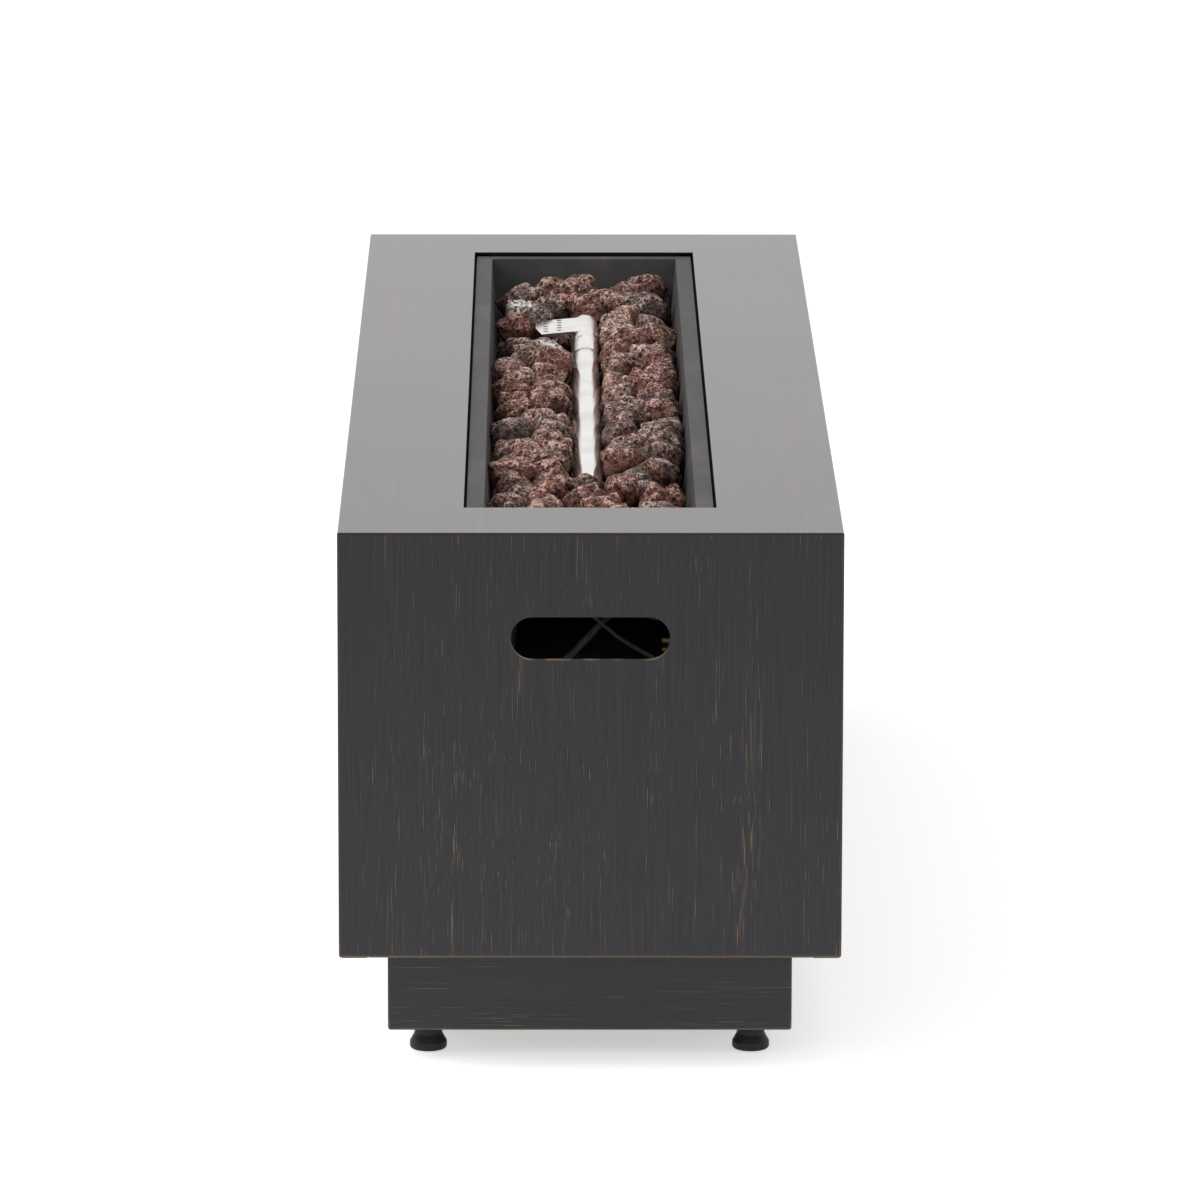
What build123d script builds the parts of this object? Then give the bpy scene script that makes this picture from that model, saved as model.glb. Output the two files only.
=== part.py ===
"""A propane fire pit: a long sheet-steel casing on a recessed plinth with levelling feet.

A burner pan hangs in the opening of the top, full of lava rock around a stainless burner tube.
Gas valve and push-button igniter sit in a recessed tray in the right-hand long side.
The origin is on the floor under the middle of the casing; +Y is the length, +Z is up.
"""

from build123d import *
import math
import os
import random

import numpy as np

os.makedirs("parts", exist_ok=True)

# Casing: bent panels welded into a box
casing_length = 1219.0
casing_width = 356.0
casing_height = 308.0
casing_sheet = 1.5
top_margin = 88.0
top_edge_radius = 1.2
bend_radius = 3.0
return_width = 20.0
hand_hole_length = 112.0
hand_hole_height = 30.0
hand_hole_drop = 75.5
corner_angle_leg = 18.0
corner_angle_end_gap = 3.0

# Base plate, lying on the flanges turned in at the bottom of the casing
base_edge_gap = 0.5
vent_length = 90.0
vent_width = 9.0
vent_count = 6
vent_end_margin = 209.5
vent_side_margin = 103.0
hose_outlet_radius = 20.0
hose_outlet_x = 40.0

# Plinth channels and levelling feet
plinth_height = 62.0
plinth_inset = 34.0
plinth_sheet = 1.5
plinth_flange = 22.0
plinth_bend_radius = 3.0
foot_height = 20.0
foot_inset = 28.5
foot_top_gap = 0.3
foot_radius = 13.3
foot_rim_height = 5.5
foot_edge_radius = 2.5
foot_neck_height = 11.4
foot_neck_radius = 10.0
foot_top_radius = 9.5
foot_socket_floor = 6.0
stem_radius = 4.0
stem_length = 48.0
stem_hole_clearance = 0.5
gusset_thickness = 3.0
weld_nut_flats = 13.0
weld_nut_height = 8.0

# Burner pan, hung by its flange on four rails below the opening
pan_recess = 3.0
pan_gap = 2.0
pan_flange = 12.5
pan_sheet = 1.5
pan_depth = 62.0
pan_lean = 6.5
drain_radius = 4.0
drain_side_margin = 24.0
drain_end_margin = 60.5
rail_sheet = 1.5
rail_ledge = 11.0
rail_flange = 19.5
rail_end_gap = 0.5

# Burner tube, lying along the pan and turned down through its floor at the far end
tube_radius = 11.0
tube_wall = 1.0
tube_drop = 29.0
tube_near_margin = 183.5
tube_far_margin = 150.5
tube_bend_radius = 26.0
riser_drop = 24.0
port_radius = 1.4
port_count = 24
port_end_margin = 38.0
port_angle = 25.0
cap_thickness = 2.0
cap_recess = 2.5
saddle_near_inset = 87.0
saddle_far_inset = 180.0
saddle_width = 24.0
saddle_foot = 16.0
saddle_sheet = 1.5
saddle_top_gap = 3.0
locknut_flats = 32.0
locknut_height = 8.0

# Mixer tube, orifice and gas pipe under the pan
mixer_wall = 2.5
mixer_length = 52.0
mixer_nut_gap = 1.0
mixer_floor = 4.0
air_window_width = 9.0
air_window_height = 18.0
air_window_floor = 9.0
air_window_count = 4
orifice_radius = 5.0
orifice_rise = 14.0
orifice_flats = 17.0
orifice_hex_height = 10.0
orifice_tail_radius = 6.0
orifice_tail = 8.0
pipe_radius = 4.0
pipe_wall = 1.0
pipe_bend_radius = 24.0
pipe_run_drop = 83.0
pipe_swing_run = 148.0
pipe_nut_flats = 17.0
pipe_nut_length = 16.0

# Recessed control tray in the right side panel
tray_sheet = 1.5
tray_depth = 34.0
tray_length = 150.0
tray_height = 80.0
tray_corner_radius = 8.0
tray_flange = 12.0
tray_end_margin = 214.5
tray_z = 273.0
knob_offset = -35.0
igniter_offset = 40.0

# Gas valve, its stem and the knob
valve_size = 36.0
valve_depth = 50.0
valve_chamfer = 4.0
neck_radius = 8.0
neck_rise = 5.0
neck_hole_clearance = 0.3
panel_nut_flats = 22.0
panel_nut_height = 4.0
stem_bore_floor = 22.0
valve_stem_radius = 4.0
valve_stem_end = 17.0
valve_stem_rise = 24.0
plunger_radius = 2.0
plunger_length = 15.0
plunger_bore_floor = 37.0
inlet_radius = 7.95
inlet_thread = 28.0
inlet_flats = 22.0
inlet_hex = 12.0
outlet_radius = 7.0
outlet_length = 14.0
outlet_depth = 30.0
lead_port_radius = 5.0
lead_port_length = 15.0
lead_port_depth = 25.0
knob_radius = 21.0
knob_skirt_height = 9.0
knob_grip_radius = 17.0
knob_height = 22.0
knob_back_gap = 6.0
knob_recess_radius = 15.0
knob_recess_depth = 8.0
knob_bore_depth = 11.0
knob_edge_radius = 1.5
knob_flute_radius = 4.0
knob_flute_depth = 1.6
knob_flute_count = 9
pointer_width = 3.0
pointer_length = 14.0
pointer_depth = 1.0

# Push-button igniter
igniter_radius = 13.0
igniter_length = 60.0
igniter_neck_radius = 11.0
igniter_neck_rise = 5.0
igniter_collar_radius = 15.0
igniter_collar_edge = 1.5
button_radius = 8.0
button_rise = 13.0
button_depth = 12.0
button_bore_floor = 18.0
button_edge_radius = 1.5
terminal_radius = 3.0
terminal_length = 8.0

# Hood over the spark electrode and the thermocouple, clipped over the burner tube
hood_sheet = 1.0
hood_reach = 38.5
hood_length = 59.5
hood_bend_gap = 74.0
hood_droop = 5.5
hood_tip_cut = 4.8
hood_tip_run = 29.0
hood_lip = 2.5
hood_lip_start = 15.0
hood_lip_end = 33.0
hood_hole_radius = 2.15
hood_hole_pitch = 10.9
hood_hole_rows = 5
hood_hole_x = 25.0
hood_hole_offset = 3.0
hood_tab_length = 72.0
hood_tab_width = 15.0
hood_window_width = 4.0
hood_window_length = 22.0
hood_window_x = -3.2
hood_window_gap = 16.0
spark_x = -24.0
electrode_inset = 45.0
probe_inset = 21.0
insulator_radius = 3.5
insulator_collar_radius = 5.5
insulator_collar_height = 4.0
insulator_drop = 22.0
insulator_rise = 27.0
electrode_radius = 1.2
electrode_rise = 34.0
probe_radius = 3.0
probe_collar_radius = 5.0
probe_collar_height = 4.0
probe_drop = 18.0
probe_rise = 33.0
bracket_sheet = 1.5
bracket_width = 20.0
bracket_length = 58.0
bracket_rivet_offset = 23.0

# Leads under the pan, and the clips that hold them
igniter_lead_radius = 2.5
probe_lead_radius = 1.5
igniter_lead_x = -45.0
probe_lead_x = -30.0
lead_drop = 6.0
lead_run_share = 0.45
clip_count = 3
clip_near_run = 155.0
clip_far_run = 105.0
clip_width = 27.0
clip_length = 8.0
clip_height = 11.0

# Rivets and bolts
rivet_radius = 2.0
rivet_head_radius = 4.0
rivet_head_height = 1.8
rivet_tail_radius = 3.2
base_rivet_count = 7
base_rivet_margin = 39.5
base_end_rivet_count = 3
base_end_rivet_margin = 58.0
bolt_radius = 3.0
bolt_head_flats = 10.0
bolt_head_height = 4.0
bolt_tail = 6.0
bolt_nut_height = 5.0
bolt_inset = 13.0
bolt_end_margin = 55.5
bolt_count = 5

# Lava rock, loose in the pan: a layer on its floor and a looser one on that
rock_pitches = (31.0, 36.5)
rock_seed_heights = (17.0, 34.0)
rock_seed_scatter = 4.0
rock_reaches = (22.0, 24.0)
rock_reach_shares = (0.62, 1.0)
rock_clearance = 0.3
rock_touch_reach = 34.0
rock_rim_gap = 8.5
rock_wall_margin = 11.0
rock_least_room = 9.0
rock_tries = 9
rock_rays = 17
rock_base_rays = 3
rock_base_slope = 58.0
rock_draw = 11
hood_clear_radius = 16.0
hood_clear_height = 6.0
hood_clear_inset = 10.0
hood_view_slope = 10.5
hood_view_side = 18.0
hood_view_run = 80.0

# Clearances shared by several pieces, and how far a cut runs past the wall it opens
press_clearance = 0.05
running_clearance = 0.08
thread_clearance = 0.1
hole_clearance = 0.2
overrun = 5.0

# Levels and places worked out from the sizes above
casing_bottom = foot_height + plinth_height
top_height = casing_bottom + casing_height
wall_top = top_height - casing_sheet
base_level = casing_bottom + casing_sheet
base_top = base_level + casing_sheet
inner_x = casing_width / 2 - casing_sheet
inner_y = casing_length / 2 - casing_sheet
hand_hole_z = top_height - hand_hole_drop
opening_width = casing_width - 2 * top_margin
opening_length = casing_length - 2 * top_margin
plinth_x = casing_width / 2 - plinth_inset
plinth_y = casing_length / 2 - plinth_inset
foot_x = plinth_x - foot_inset
foot_y = plinth_y - foot_inset
gusset_level = foot_height + plinth_sheet
pan_top = top_height - pan_recess
pan_floor = pan_top - pan_depth
pan_under = pan_floor - pan_sheet
rim_width = opening_width - 2 * (pan_gap + pan_flange)
rim_length = opening_length - 2 * (pan_gap + pan_flange)
floor_width = rim_width - 2 * pan_lean
floor_length = rim_length - 2 * pan_lean
tube_z = pan_top - tube_drop
tube_near_y = tube_near_margin - floor_length / 2
tube_bend_y = floor_length / 2 - tube_far_margin
riser_y = tube_bend_y + tube_bend_radius
saddle_places = (tube_near_y + saddle_near_inset, tube_bend_y - saddle_far_inset)
hood_near_y = tube_bend_y - hood_bend_gap
hood_middle_y = hood_near_y + hood_length / 2
electrode_y = hood_near_y + electrode_inset
probe_y = hood_near_y + probe_inset
riser_end = pan_under - riser_drop
back_x = casing_width / 2 - tray_depth
back_under_x = back_x - tray_sheet
tray_y = tray_end_margin - casing_length / 2
knob_y = tray_y + knob_offset
igniter_y = tray_y + igniter_offset
lead_z = pan_under - lead_drop

knob_plane = Plane((back_x, knob_y, tray_z), x_dir=(0, 1, 0), z_dir=(1, 0, 0))
igniter_plane = Plane((back_x, igniter_y, tray_z), x_dir=(0, 1, 0), z_dir=(1, 0, 0))


def write(piece, name):
    """Label a finished piece and write its file."""
    piece.label = name
    export_step(piece, f"parts/{name}.step")


def span_box(low, high, mode=Mode.ADD):
    """A box between two opposite corners, added to the part being built."""
    low, high = Vector(*low), Vector(*high)
    with Locations((low + high) / 2):
        Box(high.X - low.X, high.Y - low.Y, high.Z - low.Z, mode=mode)


def rod(plane, radius, start, end, mode=Mode.ADD):
    """A round bar along a plane's normal, between two distances from its origin."""
    with Locations(plane.offset((start + end) / 2)):
        Cylinder(radius, abs(end - start), mode=mode)


def bore(x, y, radius, low, high):
    """An upright hole through whatever lies between two levels."""
    rod(Plane((x, y, 0)), radius, low - overrun, high + overrun, mode=Mode.SUBTRACT)


def hexagon_nut(plane, flats, height, bore_radius):
    """A hexagon nut standing on a plane."""
    with BuildPart() as nut:
        with BuildSketch(plane):
            RegularPolygon(flats / 2, 6, major_radius=False)
            Circle(bore_radius, mode=Mode.SUBTRACT)
        extrude(amount=height)
    return nut.part


# Fixing places: rivets along the casing's bottom flanges, bolts along the plinth's top flange
side_rivet_x = inner_x - return_width / 2
end_rivet_y = inner_y - return_width / 2
base_rivet_pitch = (casing_length - 2 * base_rivet_margin) / (base_rivet_count - 1)
base_end_rivet_pitch = (casing_width - 2 * base_end_rivet_margin) / (base_end_rivet_count - 1)
bolt_pitch = 2 * (plinth_y - bolt_end_margin) / (bolt_count - 1)
rivet_places = [
    (side * side_rivet_x, (row - (base_rivet_count - 1) / 2) * base_rivet_pitch)
    for side in (-1, 1)
    for row in range(base_rivet_count)
] + [
    ((column - (base_end_rivet_count - 1) / 2) * base_end_rivet_pitch, end * end_rivet_y)
    for end in (-1, 1)
    for column in range(base_end_rivet_count)
]
bolt_places = [
    (side * (plinth_x - bolt_inset), (row - (bolt_count - 1) / 2) * bolt_pitch)
    for side in (-1, 1)
    for row in range(bolt_count)
]
foot_places = {
    "front_left": (-foot_x, -foot_y),
    "front_right": (foot_x, -foot_y),
    "rear_left": (-foot_x, foot_y),
    "rear_right": (foot_x, foot_y),
}


# Top panel: flat plate with the long opening, its outer edge ground round over the welds
with BuildPart() as top_panel:
    with BuildSketch(Plane.XY.offset(wall_top)):
        Rectangle(casing_width, casing_length)
        Rectangle(opening_width, opening_length, mode=Mode.SUBTRACT)
    extrude(amount=casing_sheet)
    fillet(top_panel.faces().sort_by(Axis.Z)[-1].outer_wire().edges(), top_edge_radius)
write(top_panel.part, "top_panel")


def bent_wall(plane, face, half_run):
    """An upright panel with its lower edge turned in; face is the outside's signed distance."""
    inward = -math.copysign(1, face)
    inside = face + inward * casing_sheet
    lip = face + inward * return_width
    corners = [
        (face, wall_top),
        (face, casing_bottom),
        (lip, casing_bottom),
        (lip, base_level),
        (inside, base_level),
        (inside, wall_top),
    ]
    with BuildPart() as wall:
        with BuildSketch(plane):
            with BuildLine():
                radii = [0, bend_radius, 0, 0, bend_radius - casing_sheet, 0]
                FilletPolyline(*corners, radius=radii, close=True)
            make_face()
        extrude(amount=half_run, both=True)
    return wall.part


# Side panels: the bottom flange stops short of the end panels; the right one takes the control tray
for side, name in ((-1, "side_panel_left"), (1, "side_panel_right")):
    with BuildPart() as side_panel:
        add(bent_wall(Plane.XZ, side * casing_width / 2, casing_length / 2))
        for end in (-1, 1):
            near, far = sorted((end * inner_y, end * (inner_y + overrun)))
            left, right = sorted((side * inner_x, side * (inner_x - return_width)))
            span_box(
                (left, near, casing_bottom - overrun),
                (right, far, base_level + bend_radius),
                mode=Mode.SUBTRACT,
            )
        for x, y in rivet_places:
            if abs(x) == side_rivet_x and x * side > 0:
                bore(x, y, rivet_radius + hole_clearance, casing_bottom, base_level)
        if side > 0:
            with BuildSketch(Plane((inner_x, tray_y, tray_z), x_dir=(0, 1, 0), z_dir=(1, 0, 0))):
                RectangleRounded(tray_length, tray_height, tray_corner_radius)
            extrude(amount=casing_sheet + overrun, mode=Mode.SUBTRACT)
    write(side_panel.part, name)

# End panels: between the side panels, each with a stadium hand hole
for end, name in ((-1, "end_panel_front"), (1, "end_panel_rear")):
    with BuildPart() as end_panel:
        add(bent_wall(Plane.YZ, end * casing_length / 2, inner_x))
        for side in (-1, 1):
            left, right = sorted((side * (inner_x - return_width), side * (inner_x + overrun)))
            near, far = sorted((end * inner_y, end * (inner_y - return_width - overrun)))
            span_box(
                (left, near, casing_bottom - overrun),
                (right, far, base_level + bend_radius),
                mode=Mode.SUBTRACT,
            )
        for x, y in rivet_places:
            if abs(y) == end_rivet_y and y * end > 0:
                bore(x, y, rivet_radius + hole_clearance, casing_bottom, base_level)
        with BuildSketch(Plane((0, end * inner_y, hand_hole_z), x_dir=(1, 0, 0), z_dir=(0, -1, 0))):
            SlotOverall(hand_hole_length, hand_hole_height)
        extrude(amount=casing_sheet + overrun, both=True, mode=Mode.SUBTRACT)
    write(end_panel.part, name)

# Corner angles: welded inside the four upright corners of the casing
with BuildPart() as corner_angles:
    with BuildSketch(Plane.XY.offset(base_top + corner_angle_end_gap)):
        for side in (-1, 1):
            for end in (-1, 1):
                corner = (side * (inner_x - corner_angle_leg / 2), end * (inner_y - corner_angle_leg / 2))
                hollow = (corner[0] - side * casing_sheet, corner[1] - end * casing_sheet)
                with Locations(corner):
                    Rectangle(corner_angle_leg, corner_angle_leg)
                with Locations(hollow):
                    Rectangle(corner_angle_leg, corner_angle_leg, mode=Mode.SUBTRACT)
    extrude(amount=wall_top - base_top - 2 * corner_angle_end_gap)
write(corner_angles.part, "corner_angles")

# Base plate: lies on the turned-in flanges; vent slots feed air to the burner
base_edge = bend_radius - casing_sheet + base_edge_gap
vent_pitch = (casing_length - 2 * vent_end_margin) / (vent_count - 1)
vent_spread = casing_width - 2 * vent_side_margin
with BuildPart() as base_plate:
    with BuildSketch(Plane.XY.offset(base_level)):
        Rectangle(2 * (inner_x - base_edge), 2 * (inner_y - base_edge))
        with GridLocations(vent_spread, vent_pitch, 2, vent_count):
            SlotOverall(vent_length, vent_width, rotation=90, mode=Mode.SUBTRACT)
        with Locations((hose_outlet_x, knob_y)):
            Circle(hose_outlet_radius, mode=Mode.SUBTRACT)
        with Locations(*rivet_places):
            Circle(rivet_radius + hole_clearance, mode=Mode.SUBTRACT)
        with Locations(*bolt_places):
            Circle(bolt_radius + hole_clearance, mode=Mode.SUBTRACT)
    extrude(amount=casing_sheet)
write(base_plate.part, "base_plate")


def plinth_channel(corner, along, inward, run):
    """A channel standing on one edge of the plinth, open inwards and mitred at both ends."""
    rise = plinth_height + casing_sheet
    outline = [
        (plinth_flange, 0),
        (0, 0),
        (0, rise),
        (plinth_flange, rise),
        (plinth_flange, rise - plinth_sheet),
        (plinth_sheet, rise - plinth_sheet),
        (plinth_sheet, plinth_sheet),
        (plinth_flange, plinth_sheet),
    ]
    inside_radius = plinth_bend_radius - plinth_sheet
    radii = [0, plinth_bend_radius, plinth_bend_radius, 0, 0, inside_radius, inside_radius, 0]
    with BuildPart() as channel:
        with BuildSketch(Plane(corner, x_dir=inward, z_dir=along)):
            with BuildLine():
                FilletPolyline(*outline, radius=radii, close=True)
            make_face()
        extrude(amount=run)
        split(bisect_by=Plane(corner, z_dir=along - inward), keep=Keep.TOP)
        split(bisect_by=Plane(corner + along * run, z_dir=-along - inward), keep=Keep.TOP)
        for x, y in bolt_places:
            bore(x, y, bolt_radius + hole_clearance, casing_bottom, base_level)
    return channel.part


# Plinth: four channels round the edge
plinth_runs = {
    "plinth_front": (Vector(-plinth_x, -plinth_y, foot_height), Vector(1, 0, 0), 2 * plinth_x),
    "plinth_right": (Vector(plinth_x, -plinth_y, foot_height), Vector(0, 1, 0), 2 * plinth_y),
    "plinth_rear": (Vector(plinth_x, plinth_y, foot_height), Vector(-1, 0, 0), 2 * plinth_x),
    "plinth_left": (Vector(-plinth_x, plinth_y, foot_height), Vector(0, -1, 0), 2 * plinth_y),
}
for name, (corner, along, run) in plinth_runs.items():
    write(plinth_channel(corner, along, Vector(0, 0, 1).cross(along), run), name)

# Foot plates and weld nuts: in the plinth's corners, on its lower flange
gusset_side = 2 * (foot_inset - plinth_bend_radius)
with BuildPart() as foot_plates:
    with BuildSketch(Plane.XY.offset(gusset_level)):
        with Locations(*foot_places.values()):
            Rectangle(gusset_side, gusset_side)
            Circle(stem_radius + stem_hole_clearance, mode=Mode.SUBTRACT)
    extrude(amount=gusset_thickness)
write(foot_plates.part, "foot_plates")

nut_level = gusset_level + gusset_thickness
thread_bore = stem_radius + running_clearance
with BuildPart() as weld_nuts:
    for x, y in foot_places.values():
        add(hexagon_nut(Plane((x, y, nut_level)), weld_nut_flats, weld_nut_height, thread_bore))
write(weld_nuts.part, "weld_nuts")

# Levelling feet: a moulded pad on a threaded stem, shown screwed right in
pad_height = foot_height - foot_top_gap
socket_radius = stem_radius + press_clearance
for name, (x, y) in foot_places.items():
    with BuildPart() as foot_pad:
        with BuildSketch(Plane((x, y, 0), x_dir=(1, 0, 0), z_dir=(0, -1, 0))):
            with BuildLine():
                pad_outline = [
                    (0, 0),
                    (foot_radius, 0),
                    (foot_radius, foot_rim_height),
                    (foot_neck_radius, foot_neck_height),
                    (foot_top_radius, pad_height),
                    (socket_radius, pad_height),
                    (socket_radius, foot_socket_floor),
                    (0, foot_socket_floor),
                ]
                pad_radii = [0, foot_edge_radius, foot_edge_radius, foot_rim_height, 0, 0, 0, 0]
                FilletPolyline(*pad_outline, radius=pad_radii, close=True)
            make_face()
        revolve(axis=Axis((x, y, 0), (0, 0, 1)))
    write(foot_pad.part, f"foot_pad_{name}")
    with BuildPart() as foot_stem:
        rod(Plane((x, y, foot_socket_floor)), stem_radius, 0, stem_length)
        chamfer(foot_stem.edges().group_by(Axis.Z)[-1], stem_radius / 4)
    write(foot_stem.part, f"foot_stem_{name}")


def pan_rail(plane, edge, half_run):
    """A Z-shaped rail: flange under the top panel, web at the opening's edge, ledge for the pan."""
    out = math.copysign(1, edge)
    ledge_top = pan_top - pan_sheet
    across = [
        (-rail_ledge, ledge_top - rail_sheet),
        (rail_sheet, ledge_top - rail_sheet),
        (rail_sheet, wall_top - rail_sheet),
        (rail_flange, wall_top - rail_sheet),
        (rail_flange, wall_top),
        (0, wall_top),
        (0, ledge_top),
        (-rail_ledge, ledge_top),
    ]
    with BuildPart() as rail:
        with BuildSketch(plane):
            with BuildLine():
                Polyline(*[(edge + out * x, z) for x, z in across], close=True)
            make_face()
        extrude(amount=half_run, both=True)
    return rail.part


# Pan rails: long ones run the length of the opening, short ones fit between their ledges
for side, name in ((-1, "pan_rail_left"), (1, "pan_rail_right")):
    write(pan_rail(Plane.XZ, side * opening_width / 2, opening_length / 2), name)
for end, name in ((-1, "pan_rail_front"), (1, "pan_rail_rear")):
    short_half = opening_width / 2 - rail_ledge - rail_end_gap
    write(pan_rail(Plane.YZ, end * opening_length / 2, short_half), name)

# Burner pan: flange, leaning walls and a flat floor with drain, riser and igniter holes
drain_x = floor_width / 2 - drain_side_margin
drain_y = floor_length / 2 - drain_end_margin
pan_holes = [(side * drain_x, end * drain_y, drain_radius) for side in (-1, 1) for end in (-1, 1)]
pan_holes.append((0, riser_y, tube_radius + hole_clearance))
pan_holes.append((spark_x, electrode_y, insulator_radius + hole_clearance))
pan_holes.append((spark_x, probe_y, probe_radius + hole_clearance))
pan_rivet_places = [(0, y - saddle_foot / 2) for y in saddle_places]
pan_rivet_places += [(spark_x, (electrode_y + probe_y) / 2 + s * bracket_rivet_offset) for s in (-1, 1)]
lean_share = overrun / pan_depth
with BuildPart() as burner_pan:
    with BuildSketch(Plane.XY.offset(pan_top - pan_sheet)):
        Rectangle(rim_width + 2 * pan_flange, rim_length + 2 * pan_flange)
    extrude(amount=pan_sheet)
    with BuildSketch(Plane.XY.offset(pan_top)):
        Rectangle(rim_width + 2 * pan_sheet, rim_length + 2 * pan_sheet)
    with BuildSketch(Plane.XY.offset(pan_under)):
        Rectangle(floor_width + 2 * pan_sheet, floor_length + 2 * pan_sheet)
    loft()
    with BuildSketch(Plane.XY.offset(pan_top + overrun)):
        wider = 2 * pan_lean * lean_share
        Rectangle(rim_width + wider, rim_length + wider)
    with BuildSketch(Plane.XY.offset(pan_floor)):
        Rectangle(floor_width, floor_length)
    loft(mode=Mode.SUBTRACT)
    for x, y, radius in pan_holes:
        bore(x, y, radius, pan_under, pan_floor)
    for x, y in pan_rivet_places:
        bore(x, y, rivet_radius + hole_clearance, pan_under, pan_floor)
write(burner_pan.part, "burner_pan")

# Burner tube: swept along its straight run and bend, with a row of gas ports low on each side
with BuildPart() as burner_tube:
    with BuildLine() as tube_path:
        FilletPolyline(
            (0, tube_near_y, tube_z),
            (0, riser_y, tube_z),
            (0, riser_y, riser_end),
            radius=tube_bend_radius,
        )
    with BuildSketch(Plane((0, tube_near_y, tube_z), x_dir=(1, 0, 0), z_dir=(0, 1, 0))):
        Circle(tube_radius)
        Circle(tube_radius - tube_wall, mode=Mode.SUBTRACT)
    sweep(path=tube_path.line)
    ports_far_y = hood_near_y - hood_tab_length
    ports_middle_y = (tube_near_y + ports_far_y) / 2
    port_pitch = (ports_far_y - tube_near_y - 2 * port_end_margin) / (port_count - 1)
    lower = math.radians(port_angle)
    for side in (-1, 1):
        outward = Vector(side * math.cos(lower), 0, -math.sin(lower))
        with BuildSketch(Plane((0, ports_middle_y, tube_z), x_dir=(0, 1, 0), z_dir=outward)):
            with GridLocations(port_pitch, 0, port_count, 1):
                Circle(port_radius)
        extrude(amount=tube_radius + overrun, mode=Mode.SUBTRACT)
write(burner_tube.part, "burner_tube")

# End cap: a disc pressed a little way into the tube's near end
with BuildPart() as burner_end_cap:
    cap_plane = Plane((0, tube_near_y, tube_z), x_dir=(1, 0, 0), z_dir=(0, 1, 0))
    rod(cap_plane, tube_radius - tube_wall - press_clearance, cap_recess, cap_recess + cap_thickness)
write(burner_end_cap.part, "burner_end_cap")

# Saddles: small angle brackets on the pan floor that hold the tube in a half-round notch
with BuildPart() as burner_saddles:
    for y in saddle_places:
        half = saddle_width / 2
        span_box((-half, y - saddle_foot, pan_floor), (half, y, pan_floor + saddle_sheet))
        span_box((-half, y, pan_floor), (half, y + saddle_sheet, tube_z - saddle_top_gap))
        notch = Plane((0, y, tube_z), x_dir=(1, 0, 0), z_dir=(0, 1, 0))
        rod(notch, tube_radius + thread_clearance, -overrun, overrun, mode=Mode.SUBTRACT)
        bore(0, y - saddle_foot / 2, rivet_radius + hole_clearance, pan_floor, pan_floor + saddle_sheet)
write(burner_saddles.part, "burner_saddles")

# Locknuts: clamp the riser to the pan floor from both sides
riser_bore = tube_radius + thread_clearance
with BuildPart() as riser_locknuts:
    for level in (pan_floor, pan_under - locknut_height):
        add(hexagon_nut(Plane((0, riser_y, level)), locknut_flats, locknut_height, riser_bore))
write(riser_locknuts.part, "riser_locknuts")

# Mixer tube: sleeve over the riser's lower end, with air windows above its floor
mixer_top = pan_under - locknut_height - mixer_nut_gap
mixer_bottom = mixer_top - mixer_length
mixer_plane = Plane((0, riser_y, mixer_bottom))
with BuildPart() as mixer_tube:
    rod(mixer_plane, riser_bore + mixer_wall, 0, mixer_length)
    rod(mixer_plane, riser_bore, mixer_floor, mixer_length + overrun, mode=Mode.SUBTRACT)
    rod(mixer_plane, orifice_radius + thread_clearance, -overrun, mixer_length, mode=Mode.SUBTRACT)
    window_z = mixer_bottom + air_window_floor + air_window_height / 2
    for k in range(air_window_count // 2):
        with Locations(Location((0, riser_y, window_z), (0, 0, k * 180 / (air_window_count // 2)))):
            Box(4 * riser_bore, air_window_width, air_window_height, mode=Mode.SUBTRACT)
write(mixer_tube.part, "mixer_tube")

# Gas orifice: brass jet screwed up through the mixer's floor
with BuildPart() as gas_orifice:
    hex_plane = mixer_plane.offset(-orifice_hex_height)
    add(hexagon_nut(hex_plane, orifice_flats, orifice_hex_height, orifice_radius))
    rod(mixer_plane, orifice_radius, -orifice_hex_height, orifice_rise)
    rod(mixer_plane, orifice_tail_radius, -orifice_hex_height - orifice_tail, -orifice_hex_height)
write(gas_orifice.part, "gas_orifice")

# Gas pipe: from the valve's outlet, low along the casing and up to the orifice
outlet_x = back_under_x - outlet_depth
outlet_end = tray_z - valve_size / 2 - outlet_length
orifice_end = mixer_bottom - orifice_hex_height - orifice_tail
pipe_z = tray_z - pipe_run_drop
with BuildPart() as gas_pipe:
    with BuildLine() as pipe_path:
        FilletPolyline(
            (outlet_x, knob_y, outlet_end),
            (outlet_x, knob_y, pipe_z),
            (outlet_x, riser_y - pipe_swing_run, pipe_z),
            (0, riser_y, pipe_z),
            (0, riser_y, orifice_end),
            radius=pipe_bend_radius,
        )
    with BuildSketch(Plane((outlet_x, knob_y, outlet_end), x_dir=(1, 0, 0), z_dir=(0, 0, -1))):
        Circle(pipe_radius)
        Circle(pipe_radius - pipe_wall, mode=Mode.SUBTRACT)
    sweep(path=pipe_path.line)
write(gas_pipe.part, "gas_pipe")

# Pipe nuts: brass, one under the valve's outlet and one under the orifice
with BuildPart() as pipe_nuts:
    for x, y, level in ((outlet_x, knob_y, outlet_end), (0, riser_y, orifice_end)):
        nut_plane = Plane((x, y, level - pipe_nut_length))
        add(hexagon_nut(nut_plane, pipe_nut_flats, pipe_nut_length, pipe_radius + thread_clearance))
write(pipe_nuts.part, "pipe_nuts")

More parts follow.
